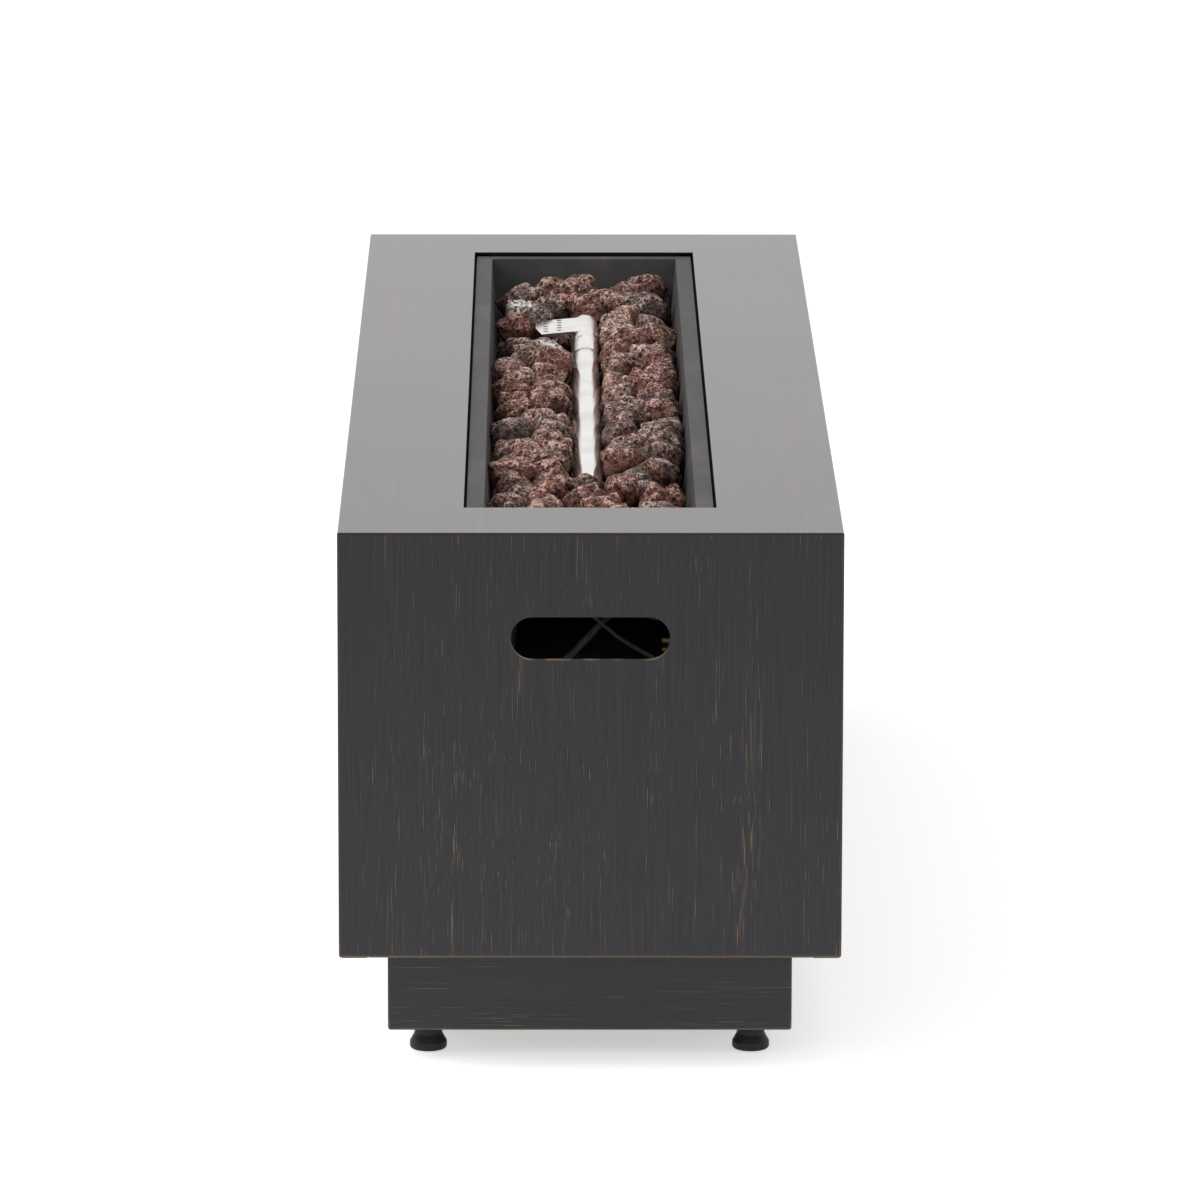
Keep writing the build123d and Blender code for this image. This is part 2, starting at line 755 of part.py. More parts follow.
# Control tray: pressed box behind the side panel's cut-out, its flange welded to the panel
tray_plane = Plane((inner_x, tray_y, tray_z), x_dir=(0, 1, 0), z_dir=(1, 0, 0))
tray_wall_depth = inner_x - back_x
with BuildPart() as control_tray:
    with BuildSketch(tray_plane):
        RectangleRounded(tray_length, tray_height, tray_corner_radius)
        offset(amount=tray_sheet)
    extrude(amount=-(tray_wall_depth + tray_sheet))
    with BuildSketch(tray_plane):
        RectangleRounded(tray_length + 2 * tray_flange, tray_height + 2 * tray_flange, tray_corner_radius)
    extrude(amount=-tray_sheet)
    with BuildSketch(tray_plane.offset(overrun)):
        RectangleRounded(tray_length, tray_height, tray_corner_radius)
    extrude(amount=-(tray_wall_depth + overrun), mode=Mode.SUBTRACT)
    for plane, radius in ((knob_plane, neck_radius), (igniter_plane, igniter_neck_radius)):
        hole_radius = radius + neck_hole_clearance
        rod(plane, hole_radius, -tray_sheet - overrun, overrun, mode=Mode.SUBTRACT)
write(control_tray.part, "control_tray")

# Gas valve: cast body behind the tray, with its neck through the tray, inlet, outlet and lead port
valve_back = tray_sheet + valve_depth
inlet_plane = Plane((back_x - valve_back, knob_y, tray_z), x_dir=(0, 1, 0), z_dir=(-1, 0, 0))
outlet_plane = Plane((outlet_x, knob_y, tray_z - valve_size / 2), x_dir=(1, 0, 0), z_dir=(0, 0, -1))
lead_port_x = back_under_x - lead_port_depth
lead_port_y = knob_y - valve_size / 2
lead_port_plane = Plane((lead_port_x, lead_port_y, tray_z), x_dir=(1, 0, 0), z_dir=(0, -1, 0))
with BuildPart() as gas_valve:
    with BuildSketch(knob_plane.offset(-valve_back)):
        Rectangle(valve_size, valve_size)
    extrude(amount=valve_depth)
    chamfer(gas_valve.edges().filter_by(Axis.X), valve_chamfer)
    rod(knob_plane, neck_radius, -tray_sheet, neck_rise)
    add(hexagon_nut(inlet_plane, inlet_flats, inlet_hex, inlet_radius))
    rod(inlet_plane, inlet_radius, 0, inlet_hex + inlet_thread)
    rod(outlet_plane, outlet_radius, 0, outlet_length)
    rod(lead_port_plane, lead_port_radius, 0, lead_port_length)
    stem_bore = valve_stem_radius + running_clearance
    rod(knob_plane, stem_bore, -stem_bore_floor, neck_rise + overrun, mode=Mode.SUBTRACT)
    rod(knob_plane, plunger_radius + running_clearance, -plunger_bore_floor, 0, mode=Mode.SUBTRACT)
write(gas_valve.part, "gas_valve")

nut_bore = neck_radius + thread_clearance
write(hexagon_nut(knob_plane, panel_nut_flats, panel_nut_height, nut_bore), "valve_nut")

# Valve plunger and stem: pushing the knob drives the plunger in, turning it turns the stem
with BuildPart() as valve_plunger:
    rod(knob_plane, plunger_radius, -valve_stem_end - plunger_length, -valve_stem_end - thread_clearance)
write(valve_plunger.part, "valve_plunger")

with BuildPart() as valve_stem:
    rod(knob_plane, valve_stem_radius, -valve_stem_end, valve_stem_rise)
write(valve_stem.part, "valve_stem")

# Knob: skirt, fluted grip with a pointer groove, hollow at the back to clear the panel nut
knob_front = knob_back_gap + knob_height
with BuildPart() as control_knob:
    rod(knob_plane, knob_radius, knob_back_gap, knob_back_gap + knob_skirt_height)
    rod(knob_plane, knob_grip_radius, knob_back_gap, knob_front)
    fillet(control_knob.edges().filter_by(GeomType.CIRCLE).group_by(Axis.X)[-1], knob_edge_radius)
    with BuildSketch(knob_plane.offset(knob_back_gap + knob_skirt_height)):
        with PolarLocations(knob_grip_radius + knob_flute_radius - knob_flute_depth, knob_flute_count):
            Circle(knob_flute_radius)
    extrude(amount=knob_height, mode=Mode.SUBTRACT)
    with BuildSketch(knob_plane.offset(knob_front - pointer_depth)):
        with Locations((0, pointer_length / 2)):
            Rectangle(pointer_width, pointer_length)
    extrude(amount=overrun, mode=Mode.SUBTRACT)
    rod(knob_plane, knob_recess_radius, 0, knob_back_gap + knob_recess_depth, mode=Mode.SUBTRACT)
    bore_end = knob_back_gap + knob_recess_depth + knob_bore_depth
    rod(knob_plane, valve_stem_radius + press_clearance, 0, bore_end, mode=Mode.SUBTRACT)
write(control_knob.part, "control_knob")

# Igniter: body behind the tray, collar in front of it, and the sprung button
with BuildPart() as igniter_body:
    rod(igniter_plane, igniter_radius, -tray_sheet - igniter_length, -tray_sheet)
    rod(igniter_plane, igniter_neck_radius, -tray_sheet, igniter_neck_rise)
    terminal_end = tray_sheet + igniter_length + terminal_length
    rod(igniter_plane, terminal_radius, -terminal_end, -tray_sheet - igniter_length)
    button_bore = button_radius + running_clearance
    rod(igniter_plane, button_bore, -button_bore_floor, igniter_neck_rise, mode=Mode.SUBTRACT)
write(igniter_body.part, "igniter_body")

with BuildPart() as igniter_collar:
    rod(igniter_plane, igniter_collar_radius, 0, igniter_neck_rise)
    chamfer(igniter_collar.edges().group_by(Axis.X)[-1], igniter_collar_edge)
    rod(igniter_plane, igniter_neck_radius + thread_clearance, -overrun, 2 * overrun, mode=Mode.SUBTRACT)
write(igniter_collar.part, "igniter_collar")

with BuildPart() as igniter_button:
    rod(igniter_plane, button_radius, -button_depth, button_rise)
    fillet(igniter_button.edges().group_by(Axis.X)[-1], button_edge_radius)
write(igniter_button.part, "igniter_button")

# Igniter hood: perforated wing, folded lips, a quarter wrap over the tube and a long slotted tab
wrap_radius = tube_radius + press_clearance
hood_z = tube_z + wrap_radius
with BuildPart() as igniter_hood:
    with BuildSketch(Plane((0, hood_near_y, tube_z), x_dir=(1, 0, 0), z_dir=(0, -1, 0))):
        Circle(wrap_radius + hood_sheet)
        Circle(wrap_radius, mode=Mode.SUBTRACT)
        with Locations((wrap_radius, wrap_radius)):
            Rectangle(2 * wrap_radius, 2 * wrap_radius, mode=Mode.INTERSECT)
        with Locations((-hood_reach / 2, wrap_radius + hood_sheet / 2)):
            Rectangle(hood_reach, hood_sheet)
    extrude(amount=-hood_length)
    with BuildSketch(Plane((-hood_reach, hood_near_y, hood_z))):
        with BuildLine():
            Polyline((0, 0), (hood_tip_cut, 0), (0, hood_tip_run), close=True)
        make_face()
    extrude(amount=hood_sheet + overrun, mode=Mode.SUBTRACT)
    for edge in (hood_near_y, hood_near_y + hood_length - hood_sheet):
        lip_low = (-hood_lip_end, edge, hood_z - hood_lip)
        span_box(lip_low, (-hood_lip_start, edge + hood_sheet, hood_z))
    with BuildSketch(Plane((-hood_hole_x, hood_middle_y + hood_hole_offset, hood_z))):
        with GridLocations(hood_hole_pitch, hood_hole_pitch, 2, hood_hole_rows):
            Circle(hood_hole_radius)
    extrude(amount=hood_sheet + overrun, mode=Mode.SUBTRACT)
    with BuildSketch(Plane((0, hood_near_y, tube_z), x_dir=(1, 0, 0), z_dir=(0, -1, 0))):
        Circle(wrap_radius + hood_sheet)
        Circle(wrap_radius, mode=Mode.SUBTRACT)
        with Locations((0, wrap_radius)):
            Rectangle(hood_tab_width, wrap_radius, mode=Mode.INTERSECT)
    extrude(amount=hood_tab_length)
    window_y = hood_near_y - hood_window_gap - hood_window_length / 2
    with BuildSketch(Plane((hood_window_x, window_y, tube_z))):
        Rectangle(hood_window_width, hood_window_length)
    extrude(amount=wrap_radius + overrun, mode=Mode.SUBTRACT)
write(igniter_hood.part.rotate(Axis((0, 0, tube_z), (0, 1, 0)), -hood_droop), "igniter_hood")

# Igniter bracket: plate on the pan floor that carries the electrode and the thermocouple
bracket_y = (electrode_y + probe_y) / 2
bracket_top = pan_floor + bracket_sheet
with BuildPart() as igniter_bracket:
    with BuildSketch(Plane((spark_x, bracket_y, pan_floor))):
        Rectangle(bracket_width, bracket_length)
        with Locations((0, electrode_y - bracket_y)):
            Circle(insulator_radius + hole_clearance, mode=Mode.SUBTRACT)
        with Locations((0, probe_y - bracket_y)):
            Circle(probe_radius + hole_clearance, mode=Mode.SUBTRACT)
        with Locations((0, -bracket_rivet_offset), (0, bracket_rivet_offset)):
            Circle(rivet_radius + hole_clearance, mode=Mode.SUBTRACT)
    extrude(amount=bracket_sheet)
write(igniter_bracket.part, "igniter_bracket")

# Spark electrode: ceramic insulator resting by its collar on the bracket, rod through its middle
electrode_plane = Plane((spark_x, electrode_y, bracket_top))
insulator_end = pan_under - insulator_drop - bracket_top
with BuildPart() as electrode_insulator:
    rod(electrode_plane, insulator_radius, insulator_end, insulator_rise)
    rod(electrode_plane, insulator_collar_radius, 0, insulator_collar_height)
    core = electrode_radius + press_clearance
    core_low, core_high = insulator_end - overrun, insulator_rise + overrun
    rod(electrode_plane, core, core_low, core_high, mode=Mode.SUBTRACT)
write(electrode_insulator.part, "electrode_insulator")

with BuildPart() as electrode_rod:
    rod(electrode_plane, electrode_radius, insulator_end, electrode_rise)
write(electrode_rod.part, "electrode_rod")

# Thermocouple probe: rounded tip beside the electrode
probe_plane = Plane((spark_x, probe_y, bracket_top))
probe_end = pan_under - probe_drop - bracket_top
with BuildPart() as thermocouple_probe:
    rod(probe_plane, probe_radius, probe_end, probe_rise)
    fillet(thermocouple_probe.edges().group_by(Axis.Z)[-1], probe_radius / 2)
    rod(probe_plane, probe_collar_radius, 0, probe_collar_height)
write(thermocouple_probe.part, "thermocouple_probe")


def lead(points, radius):
    """A round lead along hand-chosen points, each corner as wide as its two runs allow."""
    points = [Vector(*p) for p in points]
    radii = []
    for before, here, after in zip(points, points[1:], points[2:]):
        turn = math.radians((here - before).get_angle(after - here))
        run = min((here - before).length, (after - here).length)
        radii.append(round(lead_run_share * run / math.tan(turn / 2), 2))
    with BuildPart() as cable:
        with BuildLine() as route:
            FilletPolyline(*points, radius=radii)
        with BuildSketch(Plane(route.line @ 0, z_dir=route.line % 0)):
            Circle(radius)
        sweep(path=route.line)
    expected = math.pi * radius**2 * route.wire().length
    print("lead: least radius", min(radii), "volume over expected", cable.part.volume / expected)
    return cable.part


# Leads: slack near the valve, then clipped along the pan's underside to the far end
igniter_lead_route = [
    (back_x - terminal_end, igniter_y, tray_z),
    (54, igniter_y, tray_z),
    (38, igniter_y - 10, tray_z + 5),
    (28, igniter_y - 33, tray_z + 14),
    (22, igniter_y - 60, tray_z + 21),
    (13, igniter_y - 83, tray_z + 19),
    (-1, igniter_y - 96, tray_z + 7),
    (-16, igniter_y - 98, tray_z - 9),
    (-34, igniter_y - 88, tray_z - 22),
    (-50, igniter_y - 65, tray_z - 27),
    (-57, igniter_y - 35, tray_z - 21),
    (-55, igniter_y - 3, tray_z - 3),
    (-49, igniter_y + 27, tray_z + 20),
    (igniter_lead_x, igniter_y + 58, lead_z - 7.5),
    (igniter_lead_x, igniter_y + 93, lead_z),
    (igniter_lead_x, electrode_y - 102, lead_z),
    (igniter_lead_x, electrode_y - 76, lead_z - 6.5),
    (igniter_lead_x, electrode_y - 60, lead_z - 22.5),
    (-44.5, electrode_y - 55, lead_z - 45.5),
    (-41, electrode_y - 46, lead_z - 65.5),
    (-34, electrode_y - 27, lead_z - 74.5),
    (-27, electrode_y - 8, lead_z - 65.5),
    (spark_x, electrode_y, lead_z - 45.5),
    (spark_x, electrode_y, bracket_top + insulator_end),
]
write(lead(igniter_lead_route, igniter_lead_radius), "igniter_lead")

probe_lead_route = [
    (lead_port_x, lead_port_y - lead_port_length, tray_z),
    (lead_port_x, knob_y - 50, tray_z),
    (110, knob_y - 66, tray_z - 1.5),
    (92, knob_y - 75, tray_z - 4),
    (70, knob_y - 71, tray_z - 5),
    (50, knob_y - 58, tray_z - 2),
    (33, knob_y - 44, tray_z + 4),
    (17, knob_y - 32, tray_z + 12),
    (2, knob_y - 20, tray_z + 23),
    (-12, knob_y + 2, tray_z + 34),
    (-23, knob_y + 34, lead_z - 3.5),
    (probe_lead_x, knob_y + 72, lead_z),
    (probe_lead_x, probe_y - 74, lead_z),
    (probe_lead_x, probe_y - 56, lead_z - 3.5),
    (probe_lead_x, probe_y - 43, lead_z - 14.5),
    (-29.7, probe_y - 37, lead_z - 30.5),
    (-29, probe_y - 30, lead_z - 44.5),
    (-27, probe_y - 18, lead_z - 50.5),
    (-25, probe_y - 6, lead_z - 45.5),
    (spark_x, probe_y, lead_z - 32.5),
    (spark_x, probe_y, bracket_top + probe_end),
]
write(lead(probe_lead_route, probe_lead_radius), "thermocouple_lead")

# Lead clips: small blocks under the pan floor with a bore for each lead
first_clip_y = igniter_y + clip_near_run
clip_pitch = (hood_near_y - clip_far_run - first_clip_y) / (clip_count - 1)
with BuildPart() as lead_clips:
    for k in range(clip_count):
        y = first_clip_y + k * clip_pitch
        middle_x = (igniter_lead_x + probe_lead_x) / 2
        low = (middle_x - clip_width / 2, y - clip_length / 2, pan_under - clip_height)
        span_box(low, (middle_x + clip_width / 2, y + clip_length / 2, pan_under))
        for x, radius in ((igniter_lead_x, igniter_lead_radius), (probe_lead_x, probe_lead_radius)):
            clip_bore = Plane((x, y, lead_z), x_dir=(1, 0, 0), z_dir=(0, 1, 0))
            rod(clip_bore, radius + thread_clearance, -clip_length, clip_length, mode=Mode.SUBTRACT)
write(lead_clips.part, "lead_clips")


def rivet(x, y, low, high):
    """A blind rivet: domed head above the upper sheet, shank, and a bulb below the lower one."""
    with BuildPart() as pin:
        plane = Plane((x, y, 0))
        rod(plane, rivet_radius, low - rivet_head_height, high)
        rod(plane, rivet_tail_radius, low - rivet_head_height, low)
        rod(plane, rivet_head_radius, high, high + rivet_head_height)
        fillet(pin.edges().group_by(Axis.Z)[-1], rivet_head_height / 2)
    return pin.part


# Rivets: base plate to casing flanges, and saddles and bracket to the pan floor
with BuildPart() as base_rivets:
    for x, y in rivet_places:
        add(rivet(x, y, casing_bottom, base_top))
write(base_rivets.part, "base_rivets")

with BuildPart() as pan_rivets:
    for x, y in pan_rivet_places:
        add(rivet(x, y, pan_under, pan_floor + bracket_sheet))
write(pan_rivets.part, "pan_rivets")

# Bolts and nuts: base plate to the plinth's upper flange
with BuildPart() as plinth_bolts:
    bolt_grip = casing_sheet + plinth_sheet
    for x, y in bolt_places:
        add(hexagon_nut(Plane((x, y, base_top)), bolt_head_flats, bolt_head_height, bolt_radius))
        rod(Plane((x, y, base_top)), bolt_radius, -bolt_grip - bolt_tail, bolt_head_height)
write(plinth_bolts.part, "plinth_bolts")

with BuildPart() as plinth_nuts:
    for x, y in bolt_places:
        nut_plane = Plane((x, y, base_level - plinth_sheet - bolt_nut_height))
        add(hexagon_nut(nut_plane, bolt_head_flats, bolt_nut_height, bolt_radius + thread_clearance))
write(plinth_nuts.part, "plinth_nuts")

# Lava rock: each stone is the hull of rays from a seed, stopped at its neighbours and the pan
draw = random.Random(rock_draw)
bend_share = 1 - math.sqrt(0.5)
bend_mid = (0, riser_y - tube_bend_radius * bend_share, tube_z - tube_bend_radius * bend_share)
bend_start = (0, tube_bend_y, tube_z)
bend_end = (0, riser_y, tube_z - tube_bend_radius)
locknut_reach = locknut_flats / math.sqrt(3)
clear_near_y = bracket_y - bracket_length / 2 + hood_clear_inset
clear_far_y = bracket_y + bracket_length / 2 - hood_clear_inset
keep_out = [
    ((0, tube_near_y, tube_z), bend_start, tube_radius + hood_sheet),
    (bend_start, bend_mid, tube_radius + hood_sheet),
    (bend_mid, bend_end, tube_radius + hood_sheet),
    ((0, riser_y, pan_floor), bend_end, locknut_reach),
]
for level in (pan_floor + hood_clear_height, hood_z - hood_clear_height):
    keep_out.append(((spark_x, clear_near_y, level), (spark_x, clear_far_y, level), hood_clear_radius))
for y in saddle_places:
    saddle_low = (0, y - saddle_foot / 2, pan_floor)
    keep_out.append((saddle_low, (0, y, tube_z), saddle_width / 2 + 2 * saddle_sheet))
keep_out = [(np.array(start), np.array(end), radius) for start, end, radius in keep_out]

# In front of the hood the stones slope down to its lip, so that the flame in its mouth is seen
view_tilt = math.radians(hood_view_slope)
view_normal = np.array((0, math.sin(view_tilt), math.cos(view_tilt)))
tip_drop = hood_reach * math.sin(math.radians(hood_droop))
view_foot = np.array((0, hood_near_y, hood_z - tip_drop - hood_lip))


def view_room(place):
    """How far a place in front of the hood lies below the slope; endless anywhere else."""
    beside = -hood_reach - hood_view_side < place[0] < 0
    before = hood_near_y - hood_view_run < place[1] < hood_near_y
    return np.dot(view_foot - place, view_normal) if beside and before else math.inf


def nearest_on(start, end, point):
    """The point of a straight segment that is nearest to a given point."""
    along = end - start
    share = np.dot(point - start, along) / np.dot(along, along)
    return start + along * min(max(share, 0), 1)


def draw_seed(height):
    """A random place for a stone's middle near a height, clear of the burner and the hood."""
    while True:
        x = draw.uniform(-1, 1) * (floor_width / 2 - rock_wall_margin)
        y = draw.uniform(-1, 1) * (floor_length / 2 - rock_wall_margin)
        z = pan_floor + height + draw.uniform(-1, 1) * rock_seed_scatter
        seed = np.array((x, y, z))
        room = min(math.dist(nearest_on(a, b, seed), seed) - radius for a, b, radius in keep_out)
        if min(room, view_room(seed)) > rock_least_room:
            return seed


def draw_layer(pitch, height):
    """The seeds of one layer: each is the one of several tries that lies furthest from the others."""
    layer = [draw_seed(height)]
    for _ in range(int(floor_width * floor_length / pitch**2)):
        tries = [draw_seed(height) for _ in range(rock_tries)]
        layer.append(max(tries, key=lambda place: min(math.dist(place, other) for other in layer)))
    return layer


floor_seeds, top_seeds = [draw_layer(*layer) for layer in zip(rock_pitches, rock_seed_heights)]
seeds = floor_seeds + top_seeds

wall_tilt = math.atan2(pan_lean, pan_depth)
wall_out, wall_down = math.cos(wall_tilt), -math.sin(wall_tilt)
rock_top = pan_floor + pan_depth - rock_rim_gap
pan_walls = [
    (np.array((0, 0, pan_floor)), np.array((0, 0, -1))),
    (np.array((0, 0, rock_top)), np.array((0, 0, 1))),
]
for sign in (-1, 1):
    side_foot = np.array((sign * floor_width / 2, 0, pan_floor))
    end_foot = np.array((0, sign * floor_length / 2, pan_floor))
    pan_walls.append((side_foot, np.array((sign * wall_out, 0, wall_down))))
    pan_walls.append((end_foot, np.array((0, sign * wall_out, wall_down))))


def stone_rays(longest):
    """Directions and lengths of a stone's rays: a spiral over a sphere, spun about the upright."""
    spin = draw.uniform(0, 2 * math.pi)
    golden_turn = math.pi * (3 - math.sqrt(5))
    rays = []
    for k in range(rock_rays):
        rise = 1 - 2 * (k + 0.5) / rock_rays
        level = math.sqrt(1 - rise**2)
        turn = spin + golden_turn * k
        reach = longest * draw.uniform(*rock_reach_shares)
        rays.append((np.array((level * math.cos(turn), level * math.sin(turn), rise)), reach))
    return rays


def base_rays():
    """Directions and lengths of the rays that carry a stone down to the pan's floor."""
    slope, spin = math.radians(rock_base_slope), draw.uniform(0, 2 * math.pi)
    turns = [spin + 2 * math.pi * k / rock_base_rays for k in range(rock_base_rays)]
    level, drop = math.cos(slope), -math.sin(slope)
    return [(np.array((level * math.cos(t), level * math.sin(t), drop)), pan_depth) for t in turns]


def stone_corners(seed, rays):
    """The corners of one stone: its rays and one to each near neighbour, stopped at the first wall."""
    walls = [(point - normal * rock_clearance, normal) for point, normal in pan_walls]
    for other in seeds:
        apart = math.dist(other, seed)
        if 0 < apart < pan_depth:
            normal = (other - seed) / apart
            walls.append((seed + normal * (apart - rock_clearance) / 2, normal))
            if apart < rock_touch_reach:
                rays.append((normal, apart))
    for start, end, radius in keep_out:
        place = nearest_on(start, end, seed)
        normal = (place - seed) / math.dist(place, seed)
        walls.append((place - normal * (radius + rock_clearance), normal))
    if view_room(seed) < math.inf:
        walls.append((view_foot - view_normal * rock_clearance, view_normal))
    corners = []
    for ray, reach in rays:
        for point, normal in walls:
            facing = np.dot(ray, normal)
            if facing > 0:
                reach = min(reach, np.dot(point - seed, normal) / facing)
        corners.append(tuple(seed + ray * reach))
    return corners


floor_reach, top_reach = rock_reaches
stones = [stone_corners(seed, stone_rays(floor_reach) + base_rays()) for seed in floor_seeds]
stones += [stone_corners(seed, stone_rays(top_reach)) for seed in top_seeds]
write(Compound([ConvexPolyhedron(corners).solid() for corners in stones]), "lava_rocks")
print("stones", len(stones))
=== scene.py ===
import math

import bpy
import numpy as np
from mathutils import Matrix, Vector


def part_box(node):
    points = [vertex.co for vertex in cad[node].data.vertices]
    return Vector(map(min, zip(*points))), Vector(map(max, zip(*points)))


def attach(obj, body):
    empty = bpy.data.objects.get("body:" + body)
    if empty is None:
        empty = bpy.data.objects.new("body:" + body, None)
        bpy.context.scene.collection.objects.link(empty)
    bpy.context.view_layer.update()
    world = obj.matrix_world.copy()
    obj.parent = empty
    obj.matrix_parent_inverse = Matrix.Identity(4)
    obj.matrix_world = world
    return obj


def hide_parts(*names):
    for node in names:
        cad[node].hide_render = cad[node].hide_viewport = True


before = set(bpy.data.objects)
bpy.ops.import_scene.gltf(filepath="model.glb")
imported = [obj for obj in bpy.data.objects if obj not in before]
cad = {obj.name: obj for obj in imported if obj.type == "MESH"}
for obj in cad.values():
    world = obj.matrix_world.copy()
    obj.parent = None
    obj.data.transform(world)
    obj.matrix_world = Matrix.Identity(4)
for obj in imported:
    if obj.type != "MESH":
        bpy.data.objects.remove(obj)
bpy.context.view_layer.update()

# Camera: a long lens some six metres off the near end, looking a little down on the top.
# Place, angles and lens were fitted to the corners of the casing, the opening and the plinth.
camera_place = Vector((-0.03278, -6.662, 1.65801))
yaw, pitch, roll = -0.0065, 0.2141, -0.0017
level_right = Vector((math.cos(yaw), math.sin(yaw), 0))
level_forward = Vector((-math.sin(yaw), math.cos(yaw), 0))
forward = level_forward * math.cos(pitch) - Vector((0, 0, math.sin(pitch)))
upright = level_forward * math.sin(pitch) + Vector((0, 0, math.cos(pitch)))
right = level_right * math.cos(roll) - upright * math.sin(roll)
up = level_right * math.sin(roll) + upright * math.cos(roll)
turned = Matrix((right, up, -forward)).transposed().to_4x4()
lens = bpy.data.cameras.new("camera")
lens.sensor_width, lens.lens, lens.clip_end = 36, 264.65, 100
camera = bpy.data.objects.new("camera", lens)
camera.matrix_world = Matrix.Translation(camera_place) @ turned
bpy.context.collection.objects.link(camera)
bpy.context.scene.camera = camera
bpy.context.scene.view_settings.view_transform = "Standard"


# Studio: a white sweep under and behind the pit, a soft box over its left shoulder and an even
# fill. The floor glows part of its white to the camera, so that the shadows stay pale; the glow
# fades in front of the picture, as the light on a real sweep does towards the camera.
class Wire:
    """One output of a shader node; arithmetic on wires adds Math nodes to the same tree."""

    def __init__(self, tree, socket=None):
        self.tree, self.socket = tree, socket

    def node(self, kind, settings=None, values=None, output=0):
        """A new node: its settings first, a ramp's stops among them, then a value or a wire for
        each named input."""
        made = self.tree.nodes.new("ShaderNode" + kind)
        for name, setting in (settings or {}).items():
            if name == "stops":
                elements = made.color_ramp.elements
                while len(elements) < len(setting):
                    elements.new(0.5)
                for element, (position, colour) in zip(elements, setting.items()):
                    element.position, element.color = position, (*colour, 1)
            else:
                setattr(made, name, setting)
        for name, value in (values or {}).items():
            if isinstance(value, Wire):
                self.tree.links.new(value.socket, made.inputs[name])
            else:
                made.inputs[name].default_value = value
        return Wire(self.tree, made.outputs[output] if made.outputs else None)

    def math(self, operation, *values):
        return self.node("Math", {"operation": operation}, dict(enumerate(values)))

    def __add__(self, other):
        return self.math("ADD", self, other)

    def __sub__(self, other):
        return self.math("SUBTRACT", self, other)

    def __rsub__(self, other):
        return self.math("SUBTRACT", other, self)

    def __mul__(self, other):
        return self.math("MULTIPLY", self, other)

    def __abs__(self):
        return self.math("ABSOLUTE", self)

    __radd__, __rmul__ = __add__, __mul__


def finish(name):
    """An empty material, and the wire of the point on the surface that its nodes start from."""
    material = bpy.data.materials.new(name)
    material.use_nodes = True
    material.node_tree.nodes.clear()
    return material, Wire(material.node_tree).node("TexCoord", output="Object")


def axes(place):
    """The three coordinates of a point, one wire each."""
    return [place.node("SeparateXYZ", {}, {0: place}, output=axis) for axis in "XYZ"]


def step(value, low, high):
    """0 below low, 1 above high, with a smooth rise between; low above high turns it round."""
    ends = {"Value": value, "From Min": low, "From Max": high}
    return value.node("MapRange", {"interpolation_type": "SMOOTHSTEP"}, ends)


def mixed(factor, first, second):
    """A colour that goes from first to second as factor goes from 0 to 1."""
    colours = {0: factor}
    for socket, colour in ((6, first), (7, second)):
        colours[socket] = colour if isinstance(colour, Wire) else (*colour, 1)
    return factor.node("Mix", {"data_type": "RGBA"}, colours, output=2)


def seen_ray(start):
    """1 for rays that see the white: the camera's own, mirrored ones and those through glass."""
    found = start.node("LightPath", output="Is Camera Ray")
    for ray in ("Is Glossy Ray", "Is Transmission Ray"):
        found = found.math("MAXIMUM", found, start.node("LightPath", output=ray))
    return found


fill = 0.80
world = bpy.data.worlds.new("studio")
bpy.context.scene.world = world
world.use_nodes = True
world.node_tree.nodes.clear()
sky = Wire(world.node_tree)
white = mixed(seen_ray(sky), (fill, fill, fill), (1, 1, 1))
sky.node("OutputWorld", {}, {"Surface": sky.node("Background", {}, {"Color": white})})

floor_half = 15.0
paper_white = 0.86
glow_strength = 0.52
glow_none_y, glow_full_y = -2.6, -0.95
corners = [(x * floor_half, y * floor_half, 0) for x, y in ((-1, -1), (1, -1), (1, 1), (-1, 1))]
floor_mesh = bpy.data.meshes.new("floor")
floor_mesh.from_pydata(corners, [], [(0, 1, 2, 3)])
floor = bpy.data.objects.new("floor", floor_mesh)
bpy.context.collection.objects.link(floor)
sweep, floor_place = finish("sweep")
paper = floor_place.node("BsdfDiffuse", {}, {"Color": (paper_white, paper_white, paper_white, 1)})
floor_y = axes(floor_place)[1]
glow_share = seen_ray(floor_place) * step(floor_y, glow_none_y, glow_full_y)
glow = floor_place.node("Emission", {}, {"Color": glow_share, "Strength": glow_strength})
lit_paper = floor_place.node("AddShader", {}, {0: paper, 1: glow})
floor_place.node("OutputMaterial", {}, {"Surface": lit_paper})
floor_mesh.materials.append(sweep)

lamp = bpy.data.lights.new("soft_box", "AREA")
lamp.shape, lamp.size, lamp.size_y, lamp.energy = "RECTANGLE", 1.8, 1.8, 62
soft_box = bpy.data.objects.new("soft_box", lamp)
soft_box.location = (-2.6, -0.5, 2.5)
aim = Vector((0, 0, 0.3)) - soft_box.location
soft_box.rotation_euler = aim.to_track_quat("-Z", "Y").to_euler()
bpy.context.collection.objects.link(soft_box)


# Casing: bent sheet-steel panels welded into a box, with an angle in each upright corner, a
# pressed tray for the controls and a riveted base plate. Its dark bronze coat is rubbed by brush
# strokes up the walls and along the top, and worn to copper on the edges and in thin scratches.
def noise(place, scale, detail=2.0, rough=0.5):
    """Fractal noise about 0.5; scale is in lumps to the metre, one number for each axis."""
    scaled = place.node("VectorMath", {"operation": "MULTIPLY"}, {0: place, 1: scale})
    settings = {"Vector": scaled, "Scale": 1.0, "Detail": detail, "Roughness": rough}
    return place.node("TexNoise", {}, settings)


def principled(place, values):
    """End a material in one Principled shader with these values and wires."""
    shader = place.node("BsdfPrincipled", {}, values)
    place.node("OutputMaterial", {}, {"Surface": shader})


